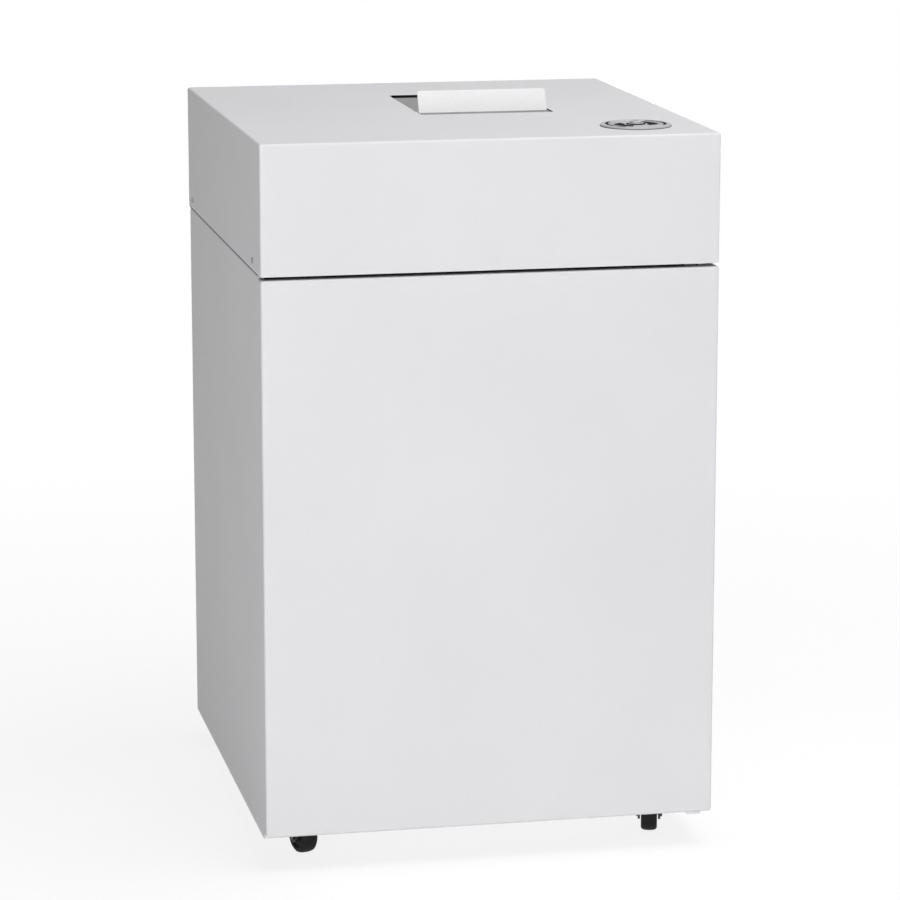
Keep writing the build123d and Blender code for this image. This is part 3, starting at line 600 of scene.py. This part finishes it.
def buildGrip():
    look = gripLook
    sheet = look["sheet"]
    low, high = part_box("lid_grip")
    lean = math.radians(look["lean"])
    along = Vector((0, math.sin(lean), math.cos(lean)))  # up the leaning blade
    facing = Vector((0, -math.cos(lean), math.sin(lean)))
    bladeTop = (high.z - low.z) / along.z - look["topGap"]
    outline = roundedOutline(low.x, high.x, 0, bladeTop, look["corner"], look["cornerSteps"])
    outline = [(u, v) for u, v in outline if v > look["corner"] + tiny]  # upper corners only
    outline += [(low.x, 0), (high.x, 0)]
    base = Vector((0, low.y + sheet / 2, low.z))
    bm = bmesh.new()
    layers = []
    for depth in (0, sheet):
        start = base - facing * depth
        layers.append([bm.verts.new(start + Vector((u, 0, 0)) + along * v) for u, v in outline])
    bridge(bm, *layers)
    bm.faces.new(layers[0])
    bm.faces.new(layers[1])
    blade = eased(newPiece("gripBlade", bm, "grip_satin"), look["edge"], look["edgeSteps"])
    fitted(blade, "feed_lid", "grip_satin", "lid_grip")
    footBox = boxMesh((low.x, base.y, low.z), (high.x, base.y + look["foot"], low.z + sheet))
    roundEdges(footBox, edgesAlong(footBox, 2), look["fold"], look["foldSteps"])
    foot = newPiece("gripFoot", footBox, "grip_satin")
    foot = eased(foot, look["footEdge"], look["footEdgeSteps"])
    fitted(foot, "feed_lid", "grip_satin")


buildLid()
buildSlotShade()
buildGrip()
print("feed lid and grip made")


# round control on the hood

dialLook = dict(
    outer=37.5 * mm, inner=27 * mm, rise=2.2 * mm, ease=0.4 * mm, segments=96, buttonSegments=48,
    gasket=0.5 * mm, rimShadeLip=0.4 * mm, rimShadeLap=1.0 * mm, rimShadeRound=0.1 * mm,
    shoulder=((0, 0.7), (0.3 * mm, 0.9), (0.9 * mm, 1.0)),  # inset from the edge, share of the rise
    groove=((3.0 * mm, 0), (3.2 * mm, 0.35 * mm), (3.5 * mm, 0.35 * mm), (3.7 * mm, 0)),  # inset, depth
    ringRim=26.5 * mm, ringDrop=0.4 * mm, depth=13 * mm, bore=7.3 * mm, boreEase=0.3 * mm,
    hub=8.5 * mm, hubRise=1.4 * mm, hubLip=0.6 * mm,
    hubFoot=((1.9 * mm, 0), (0.8 * mm, 0.25 * mm)),  # distance from the hub, height
    button=6.5 * mm, buttonRise=3.6 * mm, buttonSide=1.0 * mm,
    buttonDome=((0.72, 0.12 * mm), (0.4, 0), (0, 0)),  # share of the radius, drop
)


def buildDial():
    look = dialLook
    base = (*dialSpot.xy, hoodHigh.z)
    outer, inner, rise, ease = look["outer"], look["inner"], look["rise"], look["ease"]
    seat, lap, soft = look["gasket"], inner + look["rimShadeLap"], look["rimShadeRound"]
    count = look["segments"]
    # black ring under the bezel's edge: painted shade for the dark line round the dial
    gasket = [(lap, 0), (outer, 0), (outer, seat - soft), (outer - soft, seat), (lap, seat), (lap, 0)]
    fitted(lathe("dialRimShade", gasket, base, up, "dial_marks", count), "cabinet", "black_plastic")
    edge = outer - look["rimShadeLip"]
    bezel = [(inner, seat), (edge, seat)]
    bezel += [(edge - inset, rise * share) for inset, share in look["shoulder"]]
    bezel += [(edge - inset, rise - depth) for inset, depth in look["groove"]]
    bezel += [(inner + ease, rise), (inner, rise - ease), (inner, seat)]
    bezel = lathe("dialBezel", bezel, base, up, "dial_silver", count)
    fitted(bezel, "cabinet", "dial_silver", "dial_bezel")
    top, bottom = rise - look["ringDrop"], rise - look["depth"]
    rim, bore, hub, crest = look["ringRim"], look["bore"], look["hub"], top + look["hubRise"]
    ring = [(bore, bottom), (rim, bottom), (rim, top - ease), (rim - ease, top)]
    ring += [(hub + away, top + height) for away, height in look["hubFoot"]]
    ring += [(hub, crest), (hub - look["hubLip"], crest), (bore + look["boreEase"], crest)]
    ring += [(bore, crest - look["boreEase"]), (bore, bottom)]
    ring = lathe("controlRing", ring, base, up, "dial_silver", count)
    fitted(ring, "control_ring", "dial_silver", "control_ring")
    cap, radius, side = rise + look["buttonRise"], look["button"], look["buttonSide"]
    button = [(0, bottom), (radius, bottom), (radius, cap - side), (radius - ease, cap - side / 2)]
    button += [(radius * share, cap - drop) for share, drop in look["buttonDome"]]
    button = lathe("startButton", button, base, up, "dial_silver", look["buttonSegments"])
    fitted(button, "start_button", "dial_silver", "start_button")
    buildMarks(hoodHigh.z + rise, hoodHigh.z + top, hoodHigh.z + cap)


markLook = dict(
    thick=0.06 * mm, arc=(28.8 * mm, 32.2 * mm), arcLeft=(138, 236), arcRight=(-32, 58),
    arrowRadius=18.2 * mm, arrowWidth=11 * mm, arrowHead=0.69, arrowReach=1.06,
    arrowLeft=(-112, -222), arrowRight=(66, -50), buttonRing=(2.0 * mm, 2.7 * mm),
    collarFoot=1.9 * mm, collarLip=0.3 * mm, collarRise=1.1 * mm, collarLap=0.1 * mm,
    arcSteps=24, arrowSteps=12, ringSegments=48, collarSegments=64,
)


def arcBand(start, end):  # outline of a band along the bezel
    (inner, outer), steps = markLook["arc"], markLook["arcSteps"]
    first, last, spot = math.radians(start), math.radians(end), dialSpot.xy
    return arcPoints(spot, outer, first, last, steps) + arcPoints(spot, inner, last, first, steps)


def curvedArrow(start, end):  # outline of a shaft along an arc, with a head at its end
    look = markLook
    first, last, spot = math.radians(start), math.radians(end), dialSpot.xy
    radius, width, steps = look["arrowRadius"], look["arrowWidth"], look["arrowSteps"]
    half = width * look["arrowHead"]
    shaftEnd = last - math.copysign(width * look["arrowReach"] / radius, last - first)
    outline = arcPoints(spot, radius + width / 2, first, shaftEnd, steps)
    outline += [onCircle(spot, radius + half, shaftEnd), onCircle(spot, radius, last)]
    outline += [onCircle(spot, radius - half, shaftEnd)]
    return outline + arcPoints(spot, radius - width / 2, shaftEnd, first, steps)


def buildMarks(onBezel, onRing, onButton):
    look = markLook
    thick = look["thick"]
    for name in ("arcLeft", "arcRight"):
        band = prism(name, arcBand(*look[name]), onBezel, onBezel + thick, "dial_marks")
        fitted(band, "cabinet", "black_plastic")
    for name in ("arrowLeft", "arrowRight"):
        arrow = prism(name, curvedArrow(*look[name]), onRing, onRing + thick, "dial_marks")
        fitted(arrow, "control_ring", "black_plastic")
    inner, outer = look["buttonRing"]
    mark = [(inner, 0), (outer, 0), (outer, thick), (inner, thick), (inner, 0)]
    spot = (*dialSpot.xy, onButton)
    mark = lathe("buttonMark", mark, spot, up, "dial_marks", look["ringSegments"])
    fitted(mark, "start_button", "black_plastic")
    hub, lip, rise = dialLook["hub"], look["collarLip"], look["collarRise"]
    inside, foot = hub - look["collarLap"], hub + look["collarFoot"]
    collar = [(inside, 0), (foot, 0), (foot, lip), (hub + lip, rise), (inside, rise), (inside, 0)]
    spot = (*dialSpot.xy, onRing)
    collar = lathe("hubShadeCollar", collar, spot, up, "dial_marks", look["collarSegments"])
    fitted(collar, "control_ring", "black_plastic")  # dark skirt round the hub: painted shade for the dark side and foot of the hub


buildDial()
print("dial made")


# screws, nuts and bolts

screwLook = dict(
    head=3.4 * mm, rise=1.6 * mm, shoulder=0.25, bulge=0.8, steps=6, recess=1.2 * mm,
    slotWidth=1.0 * mm, slotLength=3.8 * mm, slotTurn=0.4, smooth=40, segments=32,
)
backScrewLook = dict(screwLook, rise=1.4 * mm, recess=0.8 * mm, columns=(-170 * mm, 0, 170 * mm))
boxScrewLook = dict(
    screwLook, head=2.8 * mm, rise=1.4 * mm, recess=0.8 * mm, slotWidth=0.7 * mm, slotLength=3.0 * mm,
    inset=6 * mm,
)


def panHead(name, spot, outward, look):  # domed head with a cross recess
    radius, rise, shoulder = look["head"], look["rise"], look["shoulder"]
    dome = [(0, 0), (radius, 0), (radius, rise * shoulder)]
    for step in range(1, look["steps"]):
        turn = math.pi / 2 * step / look["steps"]
        height = rise * (shoulder + (1 - shoulder) * math.sin(turn))
        dome.append((radius * math.cos(turn) ** look["bulge"], height))
    dome.append((0, rise))
    head = lathe(name, dome, spot, outward, "plate_steel", look["segments"])
    size = Matrix.Diagonal((look["slotLength"], look["slotWidth"], look["recess"] * 2, 1))
    for turn in (look["slotTurn"], look["slotTurn"] + math.pi / 2):
        place = turnedTo(spot, outward) @ Matrix.Rotation(turn, 4, "Z")
        bm = bmesh.new()
        bmesh.ops.create_cube(bm, size=1, matrix=place @ Matrix.Translation((0, 0, rise)) @ size)
        cutOut(head, newPiece("recessCutter", bm, "plate_steel"))
    smoothEdges(head.data, look["smooth"])
    return head


def setOfScrews(name, rows, look):  # rows: (spot, outward)
    return joined(name, [panHead(f"{name}{index}", *row, look) for index, row in enumerate(rows)])


def buildHoodScrews():
    low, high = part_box("hood_screws")
    inset, z = screwLook["head"], (low.z + high.z) / 2
    rows = []
    for side, x in ((-1, hoodLow.x), (1, hoodHigh.x)):
        rows += [((x, y, z), (side, 0, 0)) for y in (low.y + inset, high.y - inset)]
    heads = setOfScrews("hoodScrews", rows, screwLook)
    fitted(heads, "cabinet", "bright_steel", "hood_screws")


def buildBackScrews():  # through the back panel into the flanges of the deck and the base plate
    look = backScrewLook
    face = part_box("back_panel")[1].y
    rows = []
    for node in ("base_plate", "mechanism_deck"):
        low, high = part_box(node)
        rows += [((x, face, (low.z + high.z) / 2), (0, 1, 0)) for x in look["columns"]]
    fitted(setOfScrews("backScrews", rows, look), "cabinet", "bright_steel")


def buildBoxScrews():
    look = boxScrewLook
    low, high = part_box("control_box")
    rows = []
    for x in (low.x + look["inset"], high.x - look["inset"]):
        rows += [((x, low.y, z), (0, -1, 0)) for z in (low.z + look["inset"], high.z - look["inset"])]
    fitted(setOfScrews("boxScrews", rows, look), "cabinet", "bright_steel")


nutLook = dict(
    across=13 * mm, height=6 * mm, washer=8 * mm, washerThick=1.6 * mm, bore=5 * mm, rodEnd=1.6 * mm,
    ease=0.5 * mm, smooth=20, sides=6, washerSegments=32, rodSegments=24,
)


def hexNut(name, spot, outward):  # nut on its washer, with the rod's end in it
    look = nutLook
    rim, seat, ease, rod = look["washer"], look["washerThick"], look["ease"], look["bore"]
    soft = ease / 2
    washer = [(0, 0), (rim, 0), (rim, seat - soft), (rim - soft, seat), (0, seat)]
    corner, top = look["across"] / math.sqrt(3), seat + look["height"]
    nut = [(0, seat), (corner - ease, seat), (corner, seat + ease)]
    nut += [(corner, top - ease), (corner - ease, top), (0, top)]
    end = top + look["rodEnd"]
    rodEnd = [(0, seat), (rod, seat), (rod, end - ease), (rod - ease, end), (0, end)]
    return [
        lathe(name + "Washer", washer, spot, outward, "bright_steel", look["washerSegments"]),
        lathe(name + "Body", nut, spot, outward, "bright_steel", look["sides"], look["smooth"]),
        lathe(name + "Rod", rodEnd, spot, outward, "bright_steel", look["rodSegments"]),
    ]


def buildNuts():
    low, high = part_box("tie_rods")
    gearLow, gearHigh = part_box("drive_gear")
    rod = nutLook["bore"]
    pieces = []
    for side, x in ((-1, low.x), (1, high.x)):
        for y in (low.y + rod, high.y - rod):
            for z in (low.z + rod, high.z - rod):
                besideGear = side < 0 and gearLow.y < y < gearHigh.y and gearLow.z < z < gearHigh.z
                if not besideGear:
                    pieces += hexNut(f"rodNut{len(pieces)}", (x, y, z), (side, 0, 0))
    fitted(joined("rodNuts", pieces), "cabinet", "bright_steel")


boltLook = dict(
    circle=36 * mm, head=4.25 * mm, height=3.6 * mm, socket=2.2 * mm, socketDepth=2 * mm, ease=0.4 * mm,
    turn=45, count=4, segments=24,
)


def buildMotorBolts():  # socket heads that hold the motor to its mount
    look = boltLook
    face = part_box("motor_mount")[1].x
    pinionLow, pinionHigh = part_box("motor_pinion")
    centre = ((pinionLow + pinionHigh) / 2).yz
    rim, tall, ease, socket = look["head"], look["height"], look["ease"], look["socket"]
    floor = tall - look["socketDepth"]
    profile = [(0, 0), (rim, 0), (rim, tall - ease), (rim - ease, tall)]
    profile += [(socket, tall), (socket, floor), (0, floor)]
    bolts = []
    for index in range(look["count"]):
        turn = math.radians(look["turn"] + 360 / look["count"] * index)
        spot = (face, *onCircle(centre, look["circle"], turn))
        bolt = lathe(f"motorBolt{index}", profile, spot, (1, 0, 0), "axle_steel", look["segments"])
        bolts.append(bolt)
    fitted(joined("motorBolts", bolts), "cabinet", "bright_steel")


buildHoodScrews()
buildBackScrews()
buildBoxScrews()
buildNuts()
buildMotorBolts()
print("screws, nuts and bolts made")


# waste bin

binLook = dict(skirt=9 * mm, wall=2.2 * mm, corner=15 * mm, rise=0.4 * mm, bend=1.6 * mm, steps=5)


def buildBinRim():  # rolled edge round the bin's lip
    look = binLook
    low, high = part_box("waste_bin")
    top, bottom = high.z + look["rise"], high.z - look["skirt"]
    bend, wall = look["bend"], look["wall"]
    profile = [(0, bottom), (0, top - bend)]  # inset, level
    for step in range(1, look["steps"]):
        turn = math.pi / 2 * step / look["steps"]
        profile.append((bend * (1 - math.cos(turn)), top - bend * (1 - math.sin(turn))))
    profile += [(bend, top), (wall + bend, top), (wall + bend, top - wall)]
    profile += [(wall, top - wall - bend), (wall, bottom)]
    bm = bmesh.new()
    rings = []
    for inset, level in profile:
        sides = low.x + inset, high.x - inset, low.y + inset, high.y - inset
        outline = roundedOutline(*sides, look["corner"] - inset)
        rings.append([bm.verts.new((x, y, level)) for x, y in outline])
    for lower, upper in zip(rings, rings[1:] + rings[:1]):
        bridge(bm, lower, upper)
    fitted(newPiece("binRim", bm, "bin_plastic"), "cabinet", "bin_plastic")


buildBinRim()
print("bin rim made")


# casters

casterLook = dict(
    radius=20 * mm, width=17.5 * mm, bore=3.05 * mm, crown=3.0 * mm, crownPower=2.6, crownSteps=12,
    segments=64,
    hub=((6.4 * mm, 0), (7.0 * mm, 0.6 * mm)),  # radius, depth from the wheel's side
    dish=((7.6 * mm, 2.6 * mm), (13.4 * mm, 2.6 * mm), (14.2 * mm, 0.4 * mm)),
    groove=((15.8 * mm, 0.1 * mm), (16.4 * mm, 0.5 * mm), (17.0 * mm, 0.05 * mm)),
)


def buildWheel(corner):
    look = casterLook
    joint = jointOf[f"{corner}_roll"]
    half, bore, tread = look["width"] / 2, look["bore"], look["radius"] - look["crown"]
    side = [(bore, half)]
    side += [(radius, half - depth) for radius, depth in look["hub"] + look["dish"] + look["groove"]]
    crown = []
    for step in range(1, look["crownSteps"]):
        across = -1 + 2 * step / look["crownSteps"]
        bulge = math.sqrt(max(0.0, 1 - abs(across) ** look["crownPower"]))
        crown.append((tread + look["crown"] * bulge, half * across))
    profile = [(radius, -height) for radius, height in side] + crown + side[::-1] + [(bore, -half)]
    spot, axis = joint["pos_m"], joint["axis"]
    wheel = lathe(f"casterWheel.{corner}", profile, spot, axis, "caster_tread", look["segments"])
    fitted(wheel, f"wheel_{corner}", "caster_tread", f"caster_wheel_{corner}")


for cornerName in ("front_left", "front_right", "rear_left", "rear_right"):
    buildWheel(cornerName)
print("casters made")


# floor, light and camera

def seenRays(tree):  # one for camera, glossy and transmission rays, which see the white background
    path = addNode(tree, "ShaderNodeLightPath")
    first = addNode(tree, "ShaderNodeMath", operation="MAXIMUM")
    tree.links.new(path.outputs["Is Camera Ray"], first.inputs[0])
    tree.links.new(path.outputs["Is Glossy Ray"], first.inputs[1])
    second = addNode(tree, "ShaderNodeMath", operation="MAXIMUM")
    tree.links.new(first.outputs[0], second.inputs[0])
    tree.links.new(path.outputs["Is Transmission Ray"], second.inputs[1])
    return second.outputs[0]


def mixed(tree, factor, first, second):
    node = addNode(tree, "ShaderNodeMixShader")
    for index, socket in enumerate((factor, first, second)):
        tree.links.new(socket, node.inputs[index])
    return node.outputs[0]


def grey(level):
    return (level, level, level, 1)


stageLook = dict(floorSize=60.0, bounce=0.8, shade=0.22, glow=0.82, plainWithin=0.5, whiteBeyond=1.8)


def makeFloor():
    look = stageLook
    bm = bmesh.new()
    bmesh.ops.create_grid(bm, x_segments=1, y_segments=1, size=look["floorSize"] / 2)
    mesh = bpy.data.meshes.new("floor")
    bm.to_mesh(mesh)
    bm.free()
    floor = bpy.data.objects.new("floor", mesh)
    bpy.context.scene.collection.objects.link(floor)
    material, tree, _ = newMaterial("paleFloor")
    tree.nodes.clear()
    output = addNode(tree, "ShaderNodeOutputMaterial")
    plain = addNode(tree, "ShaderNodeBsdfDiffuse", {"Color": grey(look["bounce"])})
    shaded = addNode(tree, "ShaderNodeBsdfDiffuse", {"Color": grey(look["shade"])})
    glow = addNode(tree, "ShaderNodeEmission", {"Strength": look["glow"]})
    near = addNode(tree, "ShaderNodeAddShader")
    tree.links.new(shaded.outputs[0], near.inputs[0])
    tree.links.new(glow.outputs[0], near.inputs[1])
    white = addNode(tree, "ShaderNodeEmission", {"Strength": 1.0})
    coords = addNode(tree, "ShaderNodeTexCoord")
    reach = addNode(tree, "ShaderNodeVectorMath", operation="LENGTH")
    tree.links.new(coords.outputs["Object"], reach.inputs[0])
    fade = ranged(tree, reach.outputs["Value"], 0, 1, look["plainWithin"], look["whiteBeyond"])
    seen = mixed(tree, fade, near.outputs[0], white.outputs[0])
    surface = mixed(tree, seenRays(tree), plain.outputs[0], seen)
    tree.links.new(surface, output.inputs["Surface"])
    mesh.materials.append(material)


worldLook = dict(ambient=0.1)


def makeWorld():
    world = bpy.data.worlds.new("studio")
    bpy.context.scene.world = world
    world.use_nodes = True
    tree = world.node_tree
    tree.nodes.clear()
    output = addNode(tree, "ShaderNodeOutputWorld")
    ambient = addNode(tree, "ShaderNodeBackground", {"Color": grey(1), "Strength": worldLook["ambient"]})
    white = addNode(tree, "ShaderNodeBackground", {"Color": grey(1), "Strength": 1.0})
    surface = mixed(tree, seenRays(tree), ambient.outputs[0], white.outputs[0])
    tree.links.new(surface, output.inputs["Surface"])


def hung(name, data, location, forward):  # object at a place, facing along a direction
    thing = bpy.data.objects.new(name, data)
    bpy.context.scene.collection.objects.link(thing)
    thing.location = location
    thing.rotation_euler = Vector(forward).to_track_quat("-Z", "Y").to_euler()
    return thing


lamps = {
    "keySoftbox": dict(place=(0.8, -3.5, 0.9), aim=(0, -0.1, 0.4), size=1.8, power=19),
    "topSoftbox": dict(place=(0.6, -0.7, 3.1), aim=(0, -0.1, 0.6), size=2.2, power=54),
    "leftFill": dict(place=(-1.7, -3.3, 0.45), aim=(0, -0.1, 0.1), size=1.4, power=65),
    "rearFill": dict(place=(1.0, 3.2, 0.42), aim=(0, 0, 0.4), size=0.75, power=40),
    "rightFill": dict(place=(3.2, 0.4, 0.5), aim=(0, 0, 0.4), size=0.9, power=17),
}


def makeLamps():
    for name, look in lamps.items():
        light = bpy.data.lights.new(name, "AREA")
        light.shape = "SQUARE"
        light.size = look["size"]
        light.energy = look["power"]
        hung(name, light, look["place"], Vector(look["aim"]) - Vector(look["place"]))


cameraLook = dict(
    place=(-0.7978, -3.9092, 1.2265), yaw=0.2039, pitch=-0.2073, focalPixels=3692.7, framePixels=900,
    sensor=36.0, farClip=200.0,
)


def makeCamera():
    look = cameraLook
    data = bpy.data.cameras.new("photoCamera")
    data.sensor_width = look["sensor"]
    data.lens = look["focalPixels"] / look["framePixels"] * look["sensor"]
    data.clip_end = look["farClip"]
    yaw, pitch = look["yaw"], look["pitch"]
    level = math.cos(pitch)
    forward = (math.sin(yaw) * level, math.cos(yaw) * level, math.sin(pitch))
    bpy.context.scene.camera = hung("photoCamera", data, look["place"], forward)


makeFloor()
makeWorld()
makeLamps()
makeCamera()
bpy.context.scene.view_settings.view_transform = "Standard"
print("stage lit")
